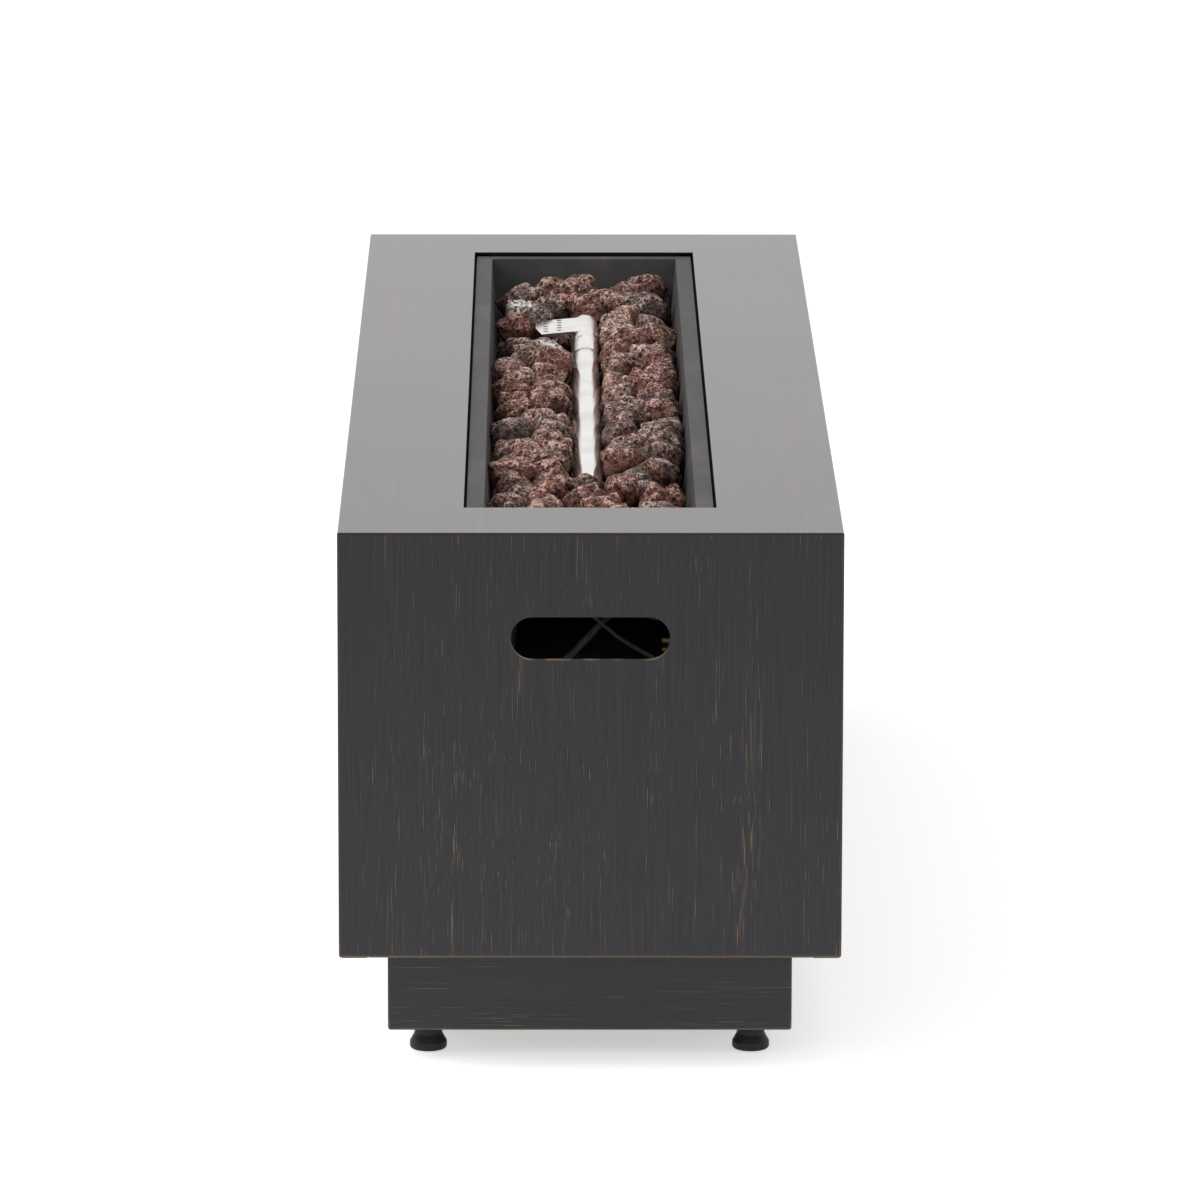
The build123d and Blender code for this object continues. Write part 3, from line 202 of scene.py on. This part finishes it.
def dress(names, material):
    """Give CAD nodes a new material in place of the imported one."""
    for name in names:
        for slot in cad[name].material_slots:
            slot.material = material


hand_hole_middle, hand_hole_straight, hand_hole_radius = 0.3145, 0.041, 0.015
copper = (0.37, 0.24, 0.13)
sway_scale, sway_reach = 7.0, 0.006
# Strokes: noise across and along them
column_grain, line_grain, dash_grain, tick_grain = (60, 2.5), (2100, 3.5), (300, 28), (2100, 24)
# Where each kind of wear starts and where it is full, in noise or in metres
line_rise, dash_rise, tick_rise = (0.685, 0.79), (0.40, 0.58), (0.715, 0.84)
edge_wear, lip_wear = (0.0020, 0.0006), (0.0014, 0.0002)
fringe_top, fringe_full, fray = 0.0035, 0.001, 0.006
dribble_out, dribble_half, dribble_run = 0.0105, 0.006, 0.09
# How much more scratched a column, the bottom, the rim and the dribbles are
column_lean, low_lean, rim_lean, dribble_lean = 0.32, 0.02, 0.02, 0.07


def brushed_coat(name, across, weave, box, tints, rough, scratched, edged, shine=(1, 1, 1)):
    """The coat on a box: across is 1 on each axis that the strokes cross, weave the noise across
    and along them, box the half width, half length, lowest and highest level. The strokes tint the
    coat; scratched and edged say how much metal the scratches and the worn edges lay bare, and
    shine is the colour of what the coat mirrors."""
    half_x, half_y, low, high = box
    material, place = finish(name)
    x, y, z = axes(place)
    swaying = {"Vector": place, "Scale": sway_scale, "Detail": 1.0}
    sway = place.node("TexNoise", {}, swaying, output="Color")
    moved = {0: sway, 1: (sway_reach,) * 3, 2: place}
    bent = place.node("VectorMath", {"operation": "MULTIPLY_ADD"}, moved)

    def strokes(crossing, along, detail=1.0):
        """Noise that is fine across the brush's way and long along it."""
        return noise(bent, [crossing if axis else along for axis in across], detail, 0.6)

    grain, columns = strokes(*weave, 3.0), strokes(*column_grain, 2.0)
    lines, dashes, ticks = strokes(*line_grain), strokes(*dash_grain), strokes(*tick_grain)
    cloud = noise(place, (7, 5, 7))

    # Distances from the box's edges and from the stadium hand hole
    from_x, from_y = half_x - abs(x), half_y - abs(y)
    from_z = z.math("MINIMUM", z - low, high - z)
    near, far = z.math("MINIMUM", from_x, from_y), z.math("MAXIMUM", from_x, from_y)
    edge = z.math("MAXIMUM", near, z.math("MINIMUM", far, from_z))
    beyond = z.math("MAXIMUM", abs(x) - hand_hole_straight, 0)
    above = z - hand_hole_middle
    hole = z.math("SQRT", beyond * beyond + above * above) - hand_hole_radius
    below_hole = step(above, 0.0, -0.012)
    dribble = step(abs(beyond - dribble_out), dribble_half, 0.001) * step(hole, dribble_run, 0.0)
    dribble *= below_hole

    # Scratches gather in columns, near the bottom, under the rim and below the hole's ends
    under_rim = step(z, high - 0.012, high - 0.002)
    low_share = step(z, low + 0.7 * (high - low), low)
    lean = column_lean * (columns - 0.5) + low_lean * low_share
    lean = lean + rim_lean * under_rim + dribble_lean * dribble
    line = step(lines + lean, *line_rise) * step(dashes, *dash_rise)
    scratch = z.math("MAXIMUM", line, step(ticks + lean, *tick_rise))

    # Wear on the box's edges, a fringe along the bottom and the lower lip of the hole
    most_below = 0.2 + 0.8 * step(z, low + 0.02, low)
    worn = step(edge, *edge_wear) * step(grain, 0.3, 0.6) * most_below
    frayed = z + fray * (ticks - 0.5)
    fringe = step(frayed, low + fringe_top, low + fringe_full) * step(ticks, 0.42, 0.6)
    rubbed = step(hole, *lip_wear) * below_hole * step(columns, 0.42, 0.6)
    rubbed = z.math("MAXIMUM", rubbed, z.math("MAXIMUM", worn, fringe))
    bare = z.math("MAXIMUM", scratch * scratched, rubbed * edged)

    # The top sheet's cut edge, a band from 0.4 to 1.6 mm below its top face, takes the darker tint
    cut_edge = step(z, high - 0.0001, high - 0.0004) * step(z, high - 0.0021, high - 0.0016)
    coat = mixed(cut_edge, mixed(step(grain, 0.3, 0.7), *tints), tints[0])
    bump = place.node("Bump", {}, {"Strength": 0.12, "Distance": 0.0004, "Height": grain})
    values = {
        "Base Color": mixed(bare, coat, copper),
        "Roughness": rough + 0.16 * (grain - 0.5) + 0.10 * (cloud - 0.5),
        "Metallic": bare * 0.6,
        "Normal": bump,
        "Specular IOR Level": 0.45,
        "Specular Tint": (*shine, 1),
    }
    principled(place, values)
    return material


casing_box = (0.178, 0.6095, 0.082, 0.390)
wall_tints = (0.0040, 0.0042, 0.0064), (0.0152, 0.0150, 0.0172)
wall_weave, wall_rough = (1500, 12), 0.42
wall_wear = {"scratched": 0.5, "edged": 0.55}
wall_coat = brushed_coat(
    "wall_coat", (1, 1, 0), wall_weave, casing_box, wall_tints, wall_rough, **wall_wear
)
top_tints = (0.006, 0.0050, 0.0056), (0.040, 0.030, 0.028)
top_weave, top_rough = (700, 6), 0.13
top_wear = {"scratched": 0.2, "edged": 0.1, "shine": (1, 0.78, 0.76)}
top_coat = brushed_coat(
    "top_coat", (1, 0, 1), top_weave, casing_box, top_tints, top_rough, **top_wear
)
dress(["side_panel_left", "side_panel_right", "end_panel_front", "end_panel_rear"], wall_coat)
dress(["corner_angles", "base_plate", "control_tray", "base_rivets"], wall_coat)
dress(["top_panel"], top_coat)

# Plinth: four sheet-steel channels that carry the casing, set back from its walls and bolted to
# its base plate. They have the same coat, rubbed along the channels instead of up them.
plinth_box = (0.144, 0.5755, 0.020, 0.0835)
plinth_weave = (1500, 11)
plinth_wear = {"scratched": 0.6, "edged": 0.45}
plinth_coat = brushed_coat(
    "plinth_coat", (0, 0, 1), plinth_weave, plinth_box, wall_tints, wall_rough, **plinth_wear
)
dress(["plinth_front", "plinth_right", "plinth_rear", "plinth_left"], plinth_coat)


# Plinth's fittings: a foot plate with a weld nut in each corner, and the bolts and nuts that hold
# the plinth to the base plate. All are steel with a dull zinc plating.
def bare_metal(name, bright, dull, rough, strokes):
    """Metal that goes from a bright to a dull colour in fine strokes; strokes is noise per axis."""
    material, place = finish(name)
    grain = noise(place, strokes, 3.0, 0.6)
    stain = noise(place, (35, 18, 35), 4.0)
    bump = place.node("Bump", {}, {"Strength": 0.08, "Distance": 0.0003, "Height": grain})
    values = {
        "Base Color": mixed(step(stain, 0.4, 0.75), bright, dull),
        "Metallic": 1.0,
        "Roughness": rough + 0.2 * (grain - 0.5) + 0.12 * stain,
        "Normal": bump,
    }
    principled(place, values)
    return material


plated = bare_metal("plated_steel", (0.55, 0.55, 0.56), (0.40, 0.39, 0.37), 0.35, (400, 400, 400))
dress(["foot_plates", "weld_nuts", "plinth_bolts", "plinth_nuts"], plated)


# Levelling feet: a round pad of black nylon, moulded on a plated steel stem that screws up into
# the weld nut. The nylon has a fine moulded grain, with paler smears from handling.
def moulded(name, colour, rough, sheen=0.5, mark=None):
    """Plastic or paint with a fine grain in its colour, gloss and surface; sheen is how strongly
    it mirrors. mark takes the point on the surface and is 1 where white paint fills it."""
    material, place = finish(name)
    grain = noise(place, (900, 900, 900), 3.0)
    smear = noise(place, (60, 60, 60), 2.0)
    shade = mixed(smear, colour, [1.6 * c + 0.002 for c in colour])
    if mark:
        shade = mixed(mark(place), shade, (0.72, 0.71, 0.68))
    bump = place.node("Bump", {}, {"Strength": 0.25, "Distance": 0.0002, "Height": grain})
    values = {"Base Color": shade, "Roughness": rough + 0.15 * smear, "Normal": bump}
    values["Specular IOR Level"] = sheen
    principled(place, values)
    return material


black, black_rough, black_sheen = (0.003, 0.0037, 0.0045), 0.5, 0.4
black_plastic = moulded("black_plastic", black, black_rough, black_sheen)
corner_names = ("front_left", "front_right", "rear_left", "rear_right")
dress([f"foot_pad_{corner}" for corner in corner_names], black_plastic)
dress([f"foot_stem_{corner}" for corner in corner_names], plated)

# Burner pan: one folded sheet-steel trough with leaning walls, hung by its flange on four rails
# below the opening. The pan has a matt heat-resistant paint, dulled by rock dust.
pan_paint, pan_place = finish("pan_paint")
dust = noise(pan_place, (30, 14, 30), 4.0)
speck = noise(pan_place, (600, 600, 600), 2.0)
pan_bump = pan_place.node("Bump", {}, {"Strength": 0.2, "Distance": 0.0003, "Height": speck})
pan_values = {
    "Base Color": mixed(step(dust, 0.4, 0.8), (0.050, 0.047, 0.048), (0.082, 0.075, 0.073)),
    "Roughness": 0.48 + 0.15 * speck,
    "Normal": pan_bump,
    "Specular IOR Level": 0.2,
}
principled(pan_place, pan_values)
dress(["burner_pan"], pan_paint)
# The rails' matt paint is near black and barely mirrors, with painted shade for the narrow gap
# under the opening.
rail_shade_black = moulded("rail_shade_black", (0.004, 0.004, 0.004), 0.8, sheen=0.03)
dress([f"pan_rail_{side}" for side in ("left", "right", "front", "rear")], rail_shade_black)

# Burner: a stainless tube with a pressed-in end cap, on riveted saddles. Its far end is bent down
# through the pan's floor, where two plated locknuts clamp it and the mixer tube sleeves it. The
# hood is a folded and perforated stainless plate, clipped over the tube.
stainless = bare_metal("stainless", (0.80, 0.78, 0.76), (0.66, 0.61, 0.56), 0.12, (900, 40, 900))
dress(["burner_tube", "burner_end_cap", "burner_saddles", "pan_rivets", "mixer_tube"], stainless)
dress(["riser_locknuts"], plated)
dress(["igniter_hood"], stainless)

# Gas train: a cast brass valve, held in the tray by its panel nut, with a stainless plunger and
# stem. A bent aluminium pipe with brass nuts joins it to the orifice, a turned brass jet that is
# screwed up into the mixer tube.
brass = bare_metal("brass", (0.78, 0.56, 0.24), (0.55, 0.37, 0.15), 0.28, (500, 500, 500))
dress(["gas_orifice", "pipe_nuts", "gas_valve", "valve_nut"], brass)
aluminium = bare_metal("aluminium", (0.80, 0.80, 0.81), (0.65, 0.65, 0.66), 0.32, (300, 20, 300))
dress(["gas_pipe"], aluminium)
dress(["valve_stem", "valve_plunger"], stainless)

# Knob: moulded in black plastic and pressed on the valve's stem, with a fluted grip and white
# paint in the pointer groove of its front face.
knob_low, knob_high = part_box("control_knob")
knob_y, knob_z = (knob_low[1] + knob_high[1]) / 2, (knob_low[2] + knob_high[2]) / 2
groove_half, groove_length, groove_depth = 0.0015, 0.014, 0.001
paint_fade = 0.0002


def pointer(place):
    """1 on the floor of the groove: within its half width of the knob's axis, from the axis up to
    its length, and sunk below the front face."""
    x, y, z = axes(place)
    behind = knob_high[0] - x
    sunk = step(behind, 0.3 * groove_depth, 0.8 * groove_depth)
    sunk *= step(behind, 1.6 * groove_depth, 1.3 * groove_depth)
    across = step(abs(y - knob_y), groove_half + paint_fade, groove_half)
    half_run = groove_length / 2
    along = step(abs(z - knob_z - half_run), half_run + paint_fade, half_run)
    return sunk * across * along


dress(["control_knob"], moulded("knob_plastic", black, black_rough, black_sheen, pointer))

# Push-button igniter: a body behind the tray, a collar that clamps it from the front and a sprung
# button. All three are moulded, the body and the collar in black and the button in dark red.
dress(["igniter_body", "igniter_collar"], black_plastic)
dress(["igniter_button"], moulded("button_plastic", (0.03, 0.004, 0.004), 0.2))

# Spark electrode and thermocouple: a stainless rod in a fired ceramic insulator, and a stainless
# probe beside it. A stainless bracket under the hood, riveted to the pan's floor, carries both.
dress(["igniter_bracket", "electrode_rod", "thermocouple_probe"], stainless)
dress(["electrode_insulator"], moulded("ceramic", (0.52, 0.50, 0.45), 0.5))

# Leads: a grey silicone sleeve on the high-tension lead, and a thin sheath on the thermocouple's.
# Black plastic clips hold both under the pan; they hang slack behind the front hand hole.
dress(["igniter_lead"], moulded("silicone_sleeve", (0.50, 0.50, 0.50), 0.5))
dress(["thermocouple_lead"], moulded("lead_sheath", (0.42, 0.40, 0.37), 0.4))
dress(["lead_clips"], black_plastic)

# Lava rock: loose porous stones, broken and tumbled, that lie in the pan round the burner. Each
# takes the place of one CAD stone: its flat faces are eased into a rounded body, then lumps are
# added and gas bubbles are cut into the skin.
stone_grid = 45
face_power = 40
face_ease = 1.02
wave_count = 16
lump_lengths = (0.009, 0.030)
lump_height = 0.0008
bubble_count = 40
bubble_radii = (0.0012, 0.0029)
bubble_depth = 0.75
least_radius = 0.4
skin_range = 0.004
draw = np.random.default_rng(7)


def folded_square(count):
    """Unit directions: a square of (u, v) from -1 to 1 folded over an octahedron, with
    height 1 - |u| - |v| and the four corners turned under, pushed out to a sphere. Returns
    the directions with the square's edges joined, and the quads between them."""
    u, v = np.meshgrid(np.linspace(-1, 1, count), np.linspace(-1, 1, count), indexing="ij")
    height = 1 - abs(u) - abs(v)
    under = height < 0
    x = np.where(under, (1 - abs(v)) * np.sign(u), u)
    y = np.where(under, (1 - abs(u)) * np.sign(v), v)
    grid = np.stack((x, y, height), axis=-1).reshape(-1, 3)
    grid /= np.linalg.norm(grid, axis=1, keepdims=True)
    _, first, joined = np.unique(
        np.round(grid, 6), axis=0, return_index=True, return_inverse=True
    )
    index = joined.reshape(count, count)
    quads = np.stack((index[:-1, :-1], index[1:, :-1], index[1:, 1:], index[:-1, 1:]), axis=-1)
    return grid[first], quads.reshape(-1, 4)


def separate_stones(mesh):
    """The corner triples of each loose stone in a mesh of loose triangles: corners at one place
    are joined, and a label spreads along the triangles until it covers a whole stone."""
    mesh.calc_loop_triangles()
    points = np.empty(3 * len(mesh.vertices))
    mesh.vertices.foreach_get("co", points)
    corners = np.empty(3 * len(mesh.loop_triangles), dtype=np.int32)
    mesh.loop_triangles.foreach_get("vertices", corners)
    places, joined = np.unique(np.round(points.reshape(-1, 3), 6), axis=0, return_inverse=True)
    triangles = joined.reshape(-1)[corners].reshape(-1, 3)
    label = np.arange(len(places))
    while True:
        lowest = label.copy()
        np.minimum.at(lowest, triangles.ravel(), np.repeat(label[triangles].min(axis=1), 3))
        if (lowest == label).all():
            break
        label = lowest
    stone_of = label[triangles[:, 0]]
    return [places[triangles[stone_of == k]] for k in np.unique(stone_of)]


def lava_stone(triangles, directions):
    """Points and skin depth of one stone. Its radius in a direction is the inverse of the p-norm
    of (normal . direction / distance) over its flat faces; folded sine waves add the lumps and
    each bubble sinks the skin by (1 - (distance / radius)^2)^2 of its depth."""
    centre = triangles.reshape(-1, 3).mean(axis=0)
    normals = np.cross(triangles[:, 1] - triangles[:, 0], triangles[:, 2] - triangles[:, 0])
    normals /= np.linalg.norm(normals, axis=1, keepdims=True)
    _, first = np.unique(np.round(normals, 2), axis=0, return_index=True)
    normals = normals[first]
    reach = ((triangles[first, 0] - centre) * normals).sum(axis=1)
    turn, _ = np.linalg.qr(draw.normal(size=(3, 3)))
    rays = directions @ turn.T

    def radius(rays):
        facing = np.maximum(rays @ normals.T, 0) / reach
        return face_ease * (facing**face_power).sum(axis=1) ** (-1 / face_power)

    size = radius(rays)
    skin = rays * size[:, None]
    lengths = draw.uniform(*lump_lengths, size=wave_count)
    waves = draw.normal(size=(wave_count, 3))
    waves *= (2 * np.pi / lengths / np.linalg.norm(waves, axis=1))[:, None]
    folded = 1 - 2 * abs(np.sin(skin @ waves.T + draw.uniform(0, np.pi, wave_count)))
    lumps = -(folded * lengths).sum(axis=1) / lengths.mean() / math.sqrt(wave_count)
    spots = draw.normal(size=(bubble_count, 3))
    spots /= np.linalg.norm(spots, axis=1, keepdims=True)
    spots *= radius(spots)[:, None]
    low, high = bubble_radii
    bubble = low * (high / low) ** draw.uniform(0, 1, bubble_count) ** 1.5
    apart = np.linalg.norm(skin[:, None, :] - spots[None], axis=2) / bubble
    hollow = (np.maximum(1 - apart**2, 0) ** 2 * bubble * bubble_depth).max(axis=1)
    depth = lumps * lump_height - hollow
    return centre + rays * np.maximum(size + depth, least_radius * size)[:, None], depth


def grid_object(name, points, quads, attributes, material):
    """A smooth mesh object at the origin, with one float attribute to each named array."""
    mesh = bpy.data.meshes.new(name)
    mesh.vertices.add(len(points))
    mesh.vertices.foreach_set("co", points.astype(np.float32).ravel())
    mesh.loops.add(quads.size)
    mesh.loops.foreach_set("vertex_index", quads.astype(np.int32).ravel())
    mesh.polygons.add(len(quads))
    mesh.polygons.foreach_set("loop_start", np.arange(0, quads.size, 4, dtype=np.int32))
    mesh.update(calc_edges=True)
    for title, values in attributes.items():
        attribute = mesh.attributes.new(title, "FLOAT", "POINT")
        attribute.data.foreach_set("value", values.astype(np.float32))
    mesh.shade_smooth()
    mesh.materials.append(material)
    made = bpy.data.objects.new(name, mesh)
    bpy.context.collection.objects.link(made)
    return made


lava, stone_place = finish("lava_stone")
tone, depth, rise, chalk = (
    stone_place.node("Attribute", {"attribute_name": title}, output="Fac")
    for title in ("tone", "depth", "rise", "chalk")
)
crumb = noise(stone_place, (600, 600, 600), 4.0, 0.7)
cloud = noise(stone_place, (110, 110, 110), 3.0)
crust = noise(stone_place, (330, 330, 330), 3.0, 0.7)


def foam(scale, share):
    """Round pores in a stone, 1 in each pore and 0 on the walls between; share is a pore's size."""
    cells = {"Vector": stone_place, "Scale": scale, "Randomness": 1.0}
    away = stone_place.node("TexVoronoi", {"feature": "F1"}, cells)
    return step(away + 0.35 * (crumb - 0.5), share, 0.45 * share)


coarse, fine = foam(215.0, 0.50), foam(450.0, 0.48)
pore = coarse.math("MAXIMUM", coarse, fine * 0.8)
stone_stops = {
    0.0: (0.096, 0.069, 0.061),
    0.3: (0.145, 0.090, 0.075),
    0.5: (0.186, 0.074, 0.056),
    0.75: (0.180, 0.092, 0.075),
    1.0: (0.295, 0.185, 0.152),
}
# Dust and painted highlight: pale dust on the stones' raised upper parts, made brighter as painted
# light on their lit tops.
dust_and_highlight_gain, dust_and_highlight_colour = (1.6, 1.6, 1.6), (0.39, 0.305, 0.265)
# The colour that darkens the lower part of each stone: painted shade on its sides and underside.
painted_low_shade = (0.030, 0.015, 0.012)
# Colours in the bubbles' hollows and in the pores: painted shade in the recesses.
painted_bubble_shade, painted_pore_shade = (0.022, 0.012, 0.010), (0.020, 0.012, 0.010)
chalk_white = (0.80, 0.76, 0.72)
body = tone.node("ValToRGB", {"stops": stone_stops}, {0: tone + 0.35 * (cloud - 0.5)})
raised = crumb + 0.4 * (depth - 0.5) + 0.32 * (rise - 0.75)
dust_and_highlight = step(raised, 0.60, 0.78) * step(rise, 0.3, 0.75)
dust_and_highlight_inputs = {0: body, 1: dust_and_highlight_gain, 2: dust_and_highlight_colour}
pale = body.node("VectorMath", {"operation": "MULTIPLY_ADD"}, dust_and_highlight_inputs)
shaded = mixed(step(rise, 0.75, 0.15) * 0.75, mixed(dust_and_highlight, body, pale), painted_low_shade)
sunk = mixed(step(depth, 0.46, 0.20), shaded, painted_bubble_shade)
pitted = mixed(pore * 0.85, sunk, painted_pore_shade)
fleck = step(crust + 0.2 * (chalk - 0.7), 0.50, 0.60) * chalk
pitting = {"Strength": 0.8, "Distance": 0.0012, "Height": crumb * 0.5 - pore}
stone_values = {
    "Base Color": mixed(fleck, pitted, chalk_white),
    "Roughness": 0.82 + 0.12 * crumb,
    "Normal": stone_place.node("Bump", {}, pitting),
    "Specular IOR Level": 0.15,
}
principled(stone_place, stone_values)

directions, quads = folded_square(stone_grid)
stones = separate_stones(cad["lava_rocks"].data)
stones.sort(key=lambda triangles: triangles[..., 1].mean())
chalk_spots = (-0.053, 0.382), (-0.027, 0.188)
chalk_reach = 0.020
heaps = 5
for heap in range(heaps):
    members = range(heap * len(stones) // heaps, (heap + 1) * len(stones) // heaps)
    built = [lava_stone(stones[member], directions) for member in members]
    points = np.concatenate([stone for stone, _ in built])
    levels = [stone[:, 2] for stone, _ in built]
    away = np.min([np.hypot(*(points[:, :2] - spot).T) for spot in chalk_spots], axis=0)
    attributes = {
        "tone": np.repeat(draw.uniform(0, 1, len(members)), len(directions)),
        "depth": 0.5 + np.concatenate([skin for _, skin in built]) / skin_range,
        "rise": np.concatenate([(level - level.min()) / np.ptp(level) for level in levels]),
        "chalk": np.clip(2 - 2 * away / chalk_reach, 0, 1),
    }
    faces = np.concatenate([quads + k * len(directions) for k in range(len(members))])
    rocks = grid_object(f"lava_rocks_{heap + 1}", points, faces, attributes, lava)
    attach(rocks, "casing")
    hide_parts("lava_rocks")
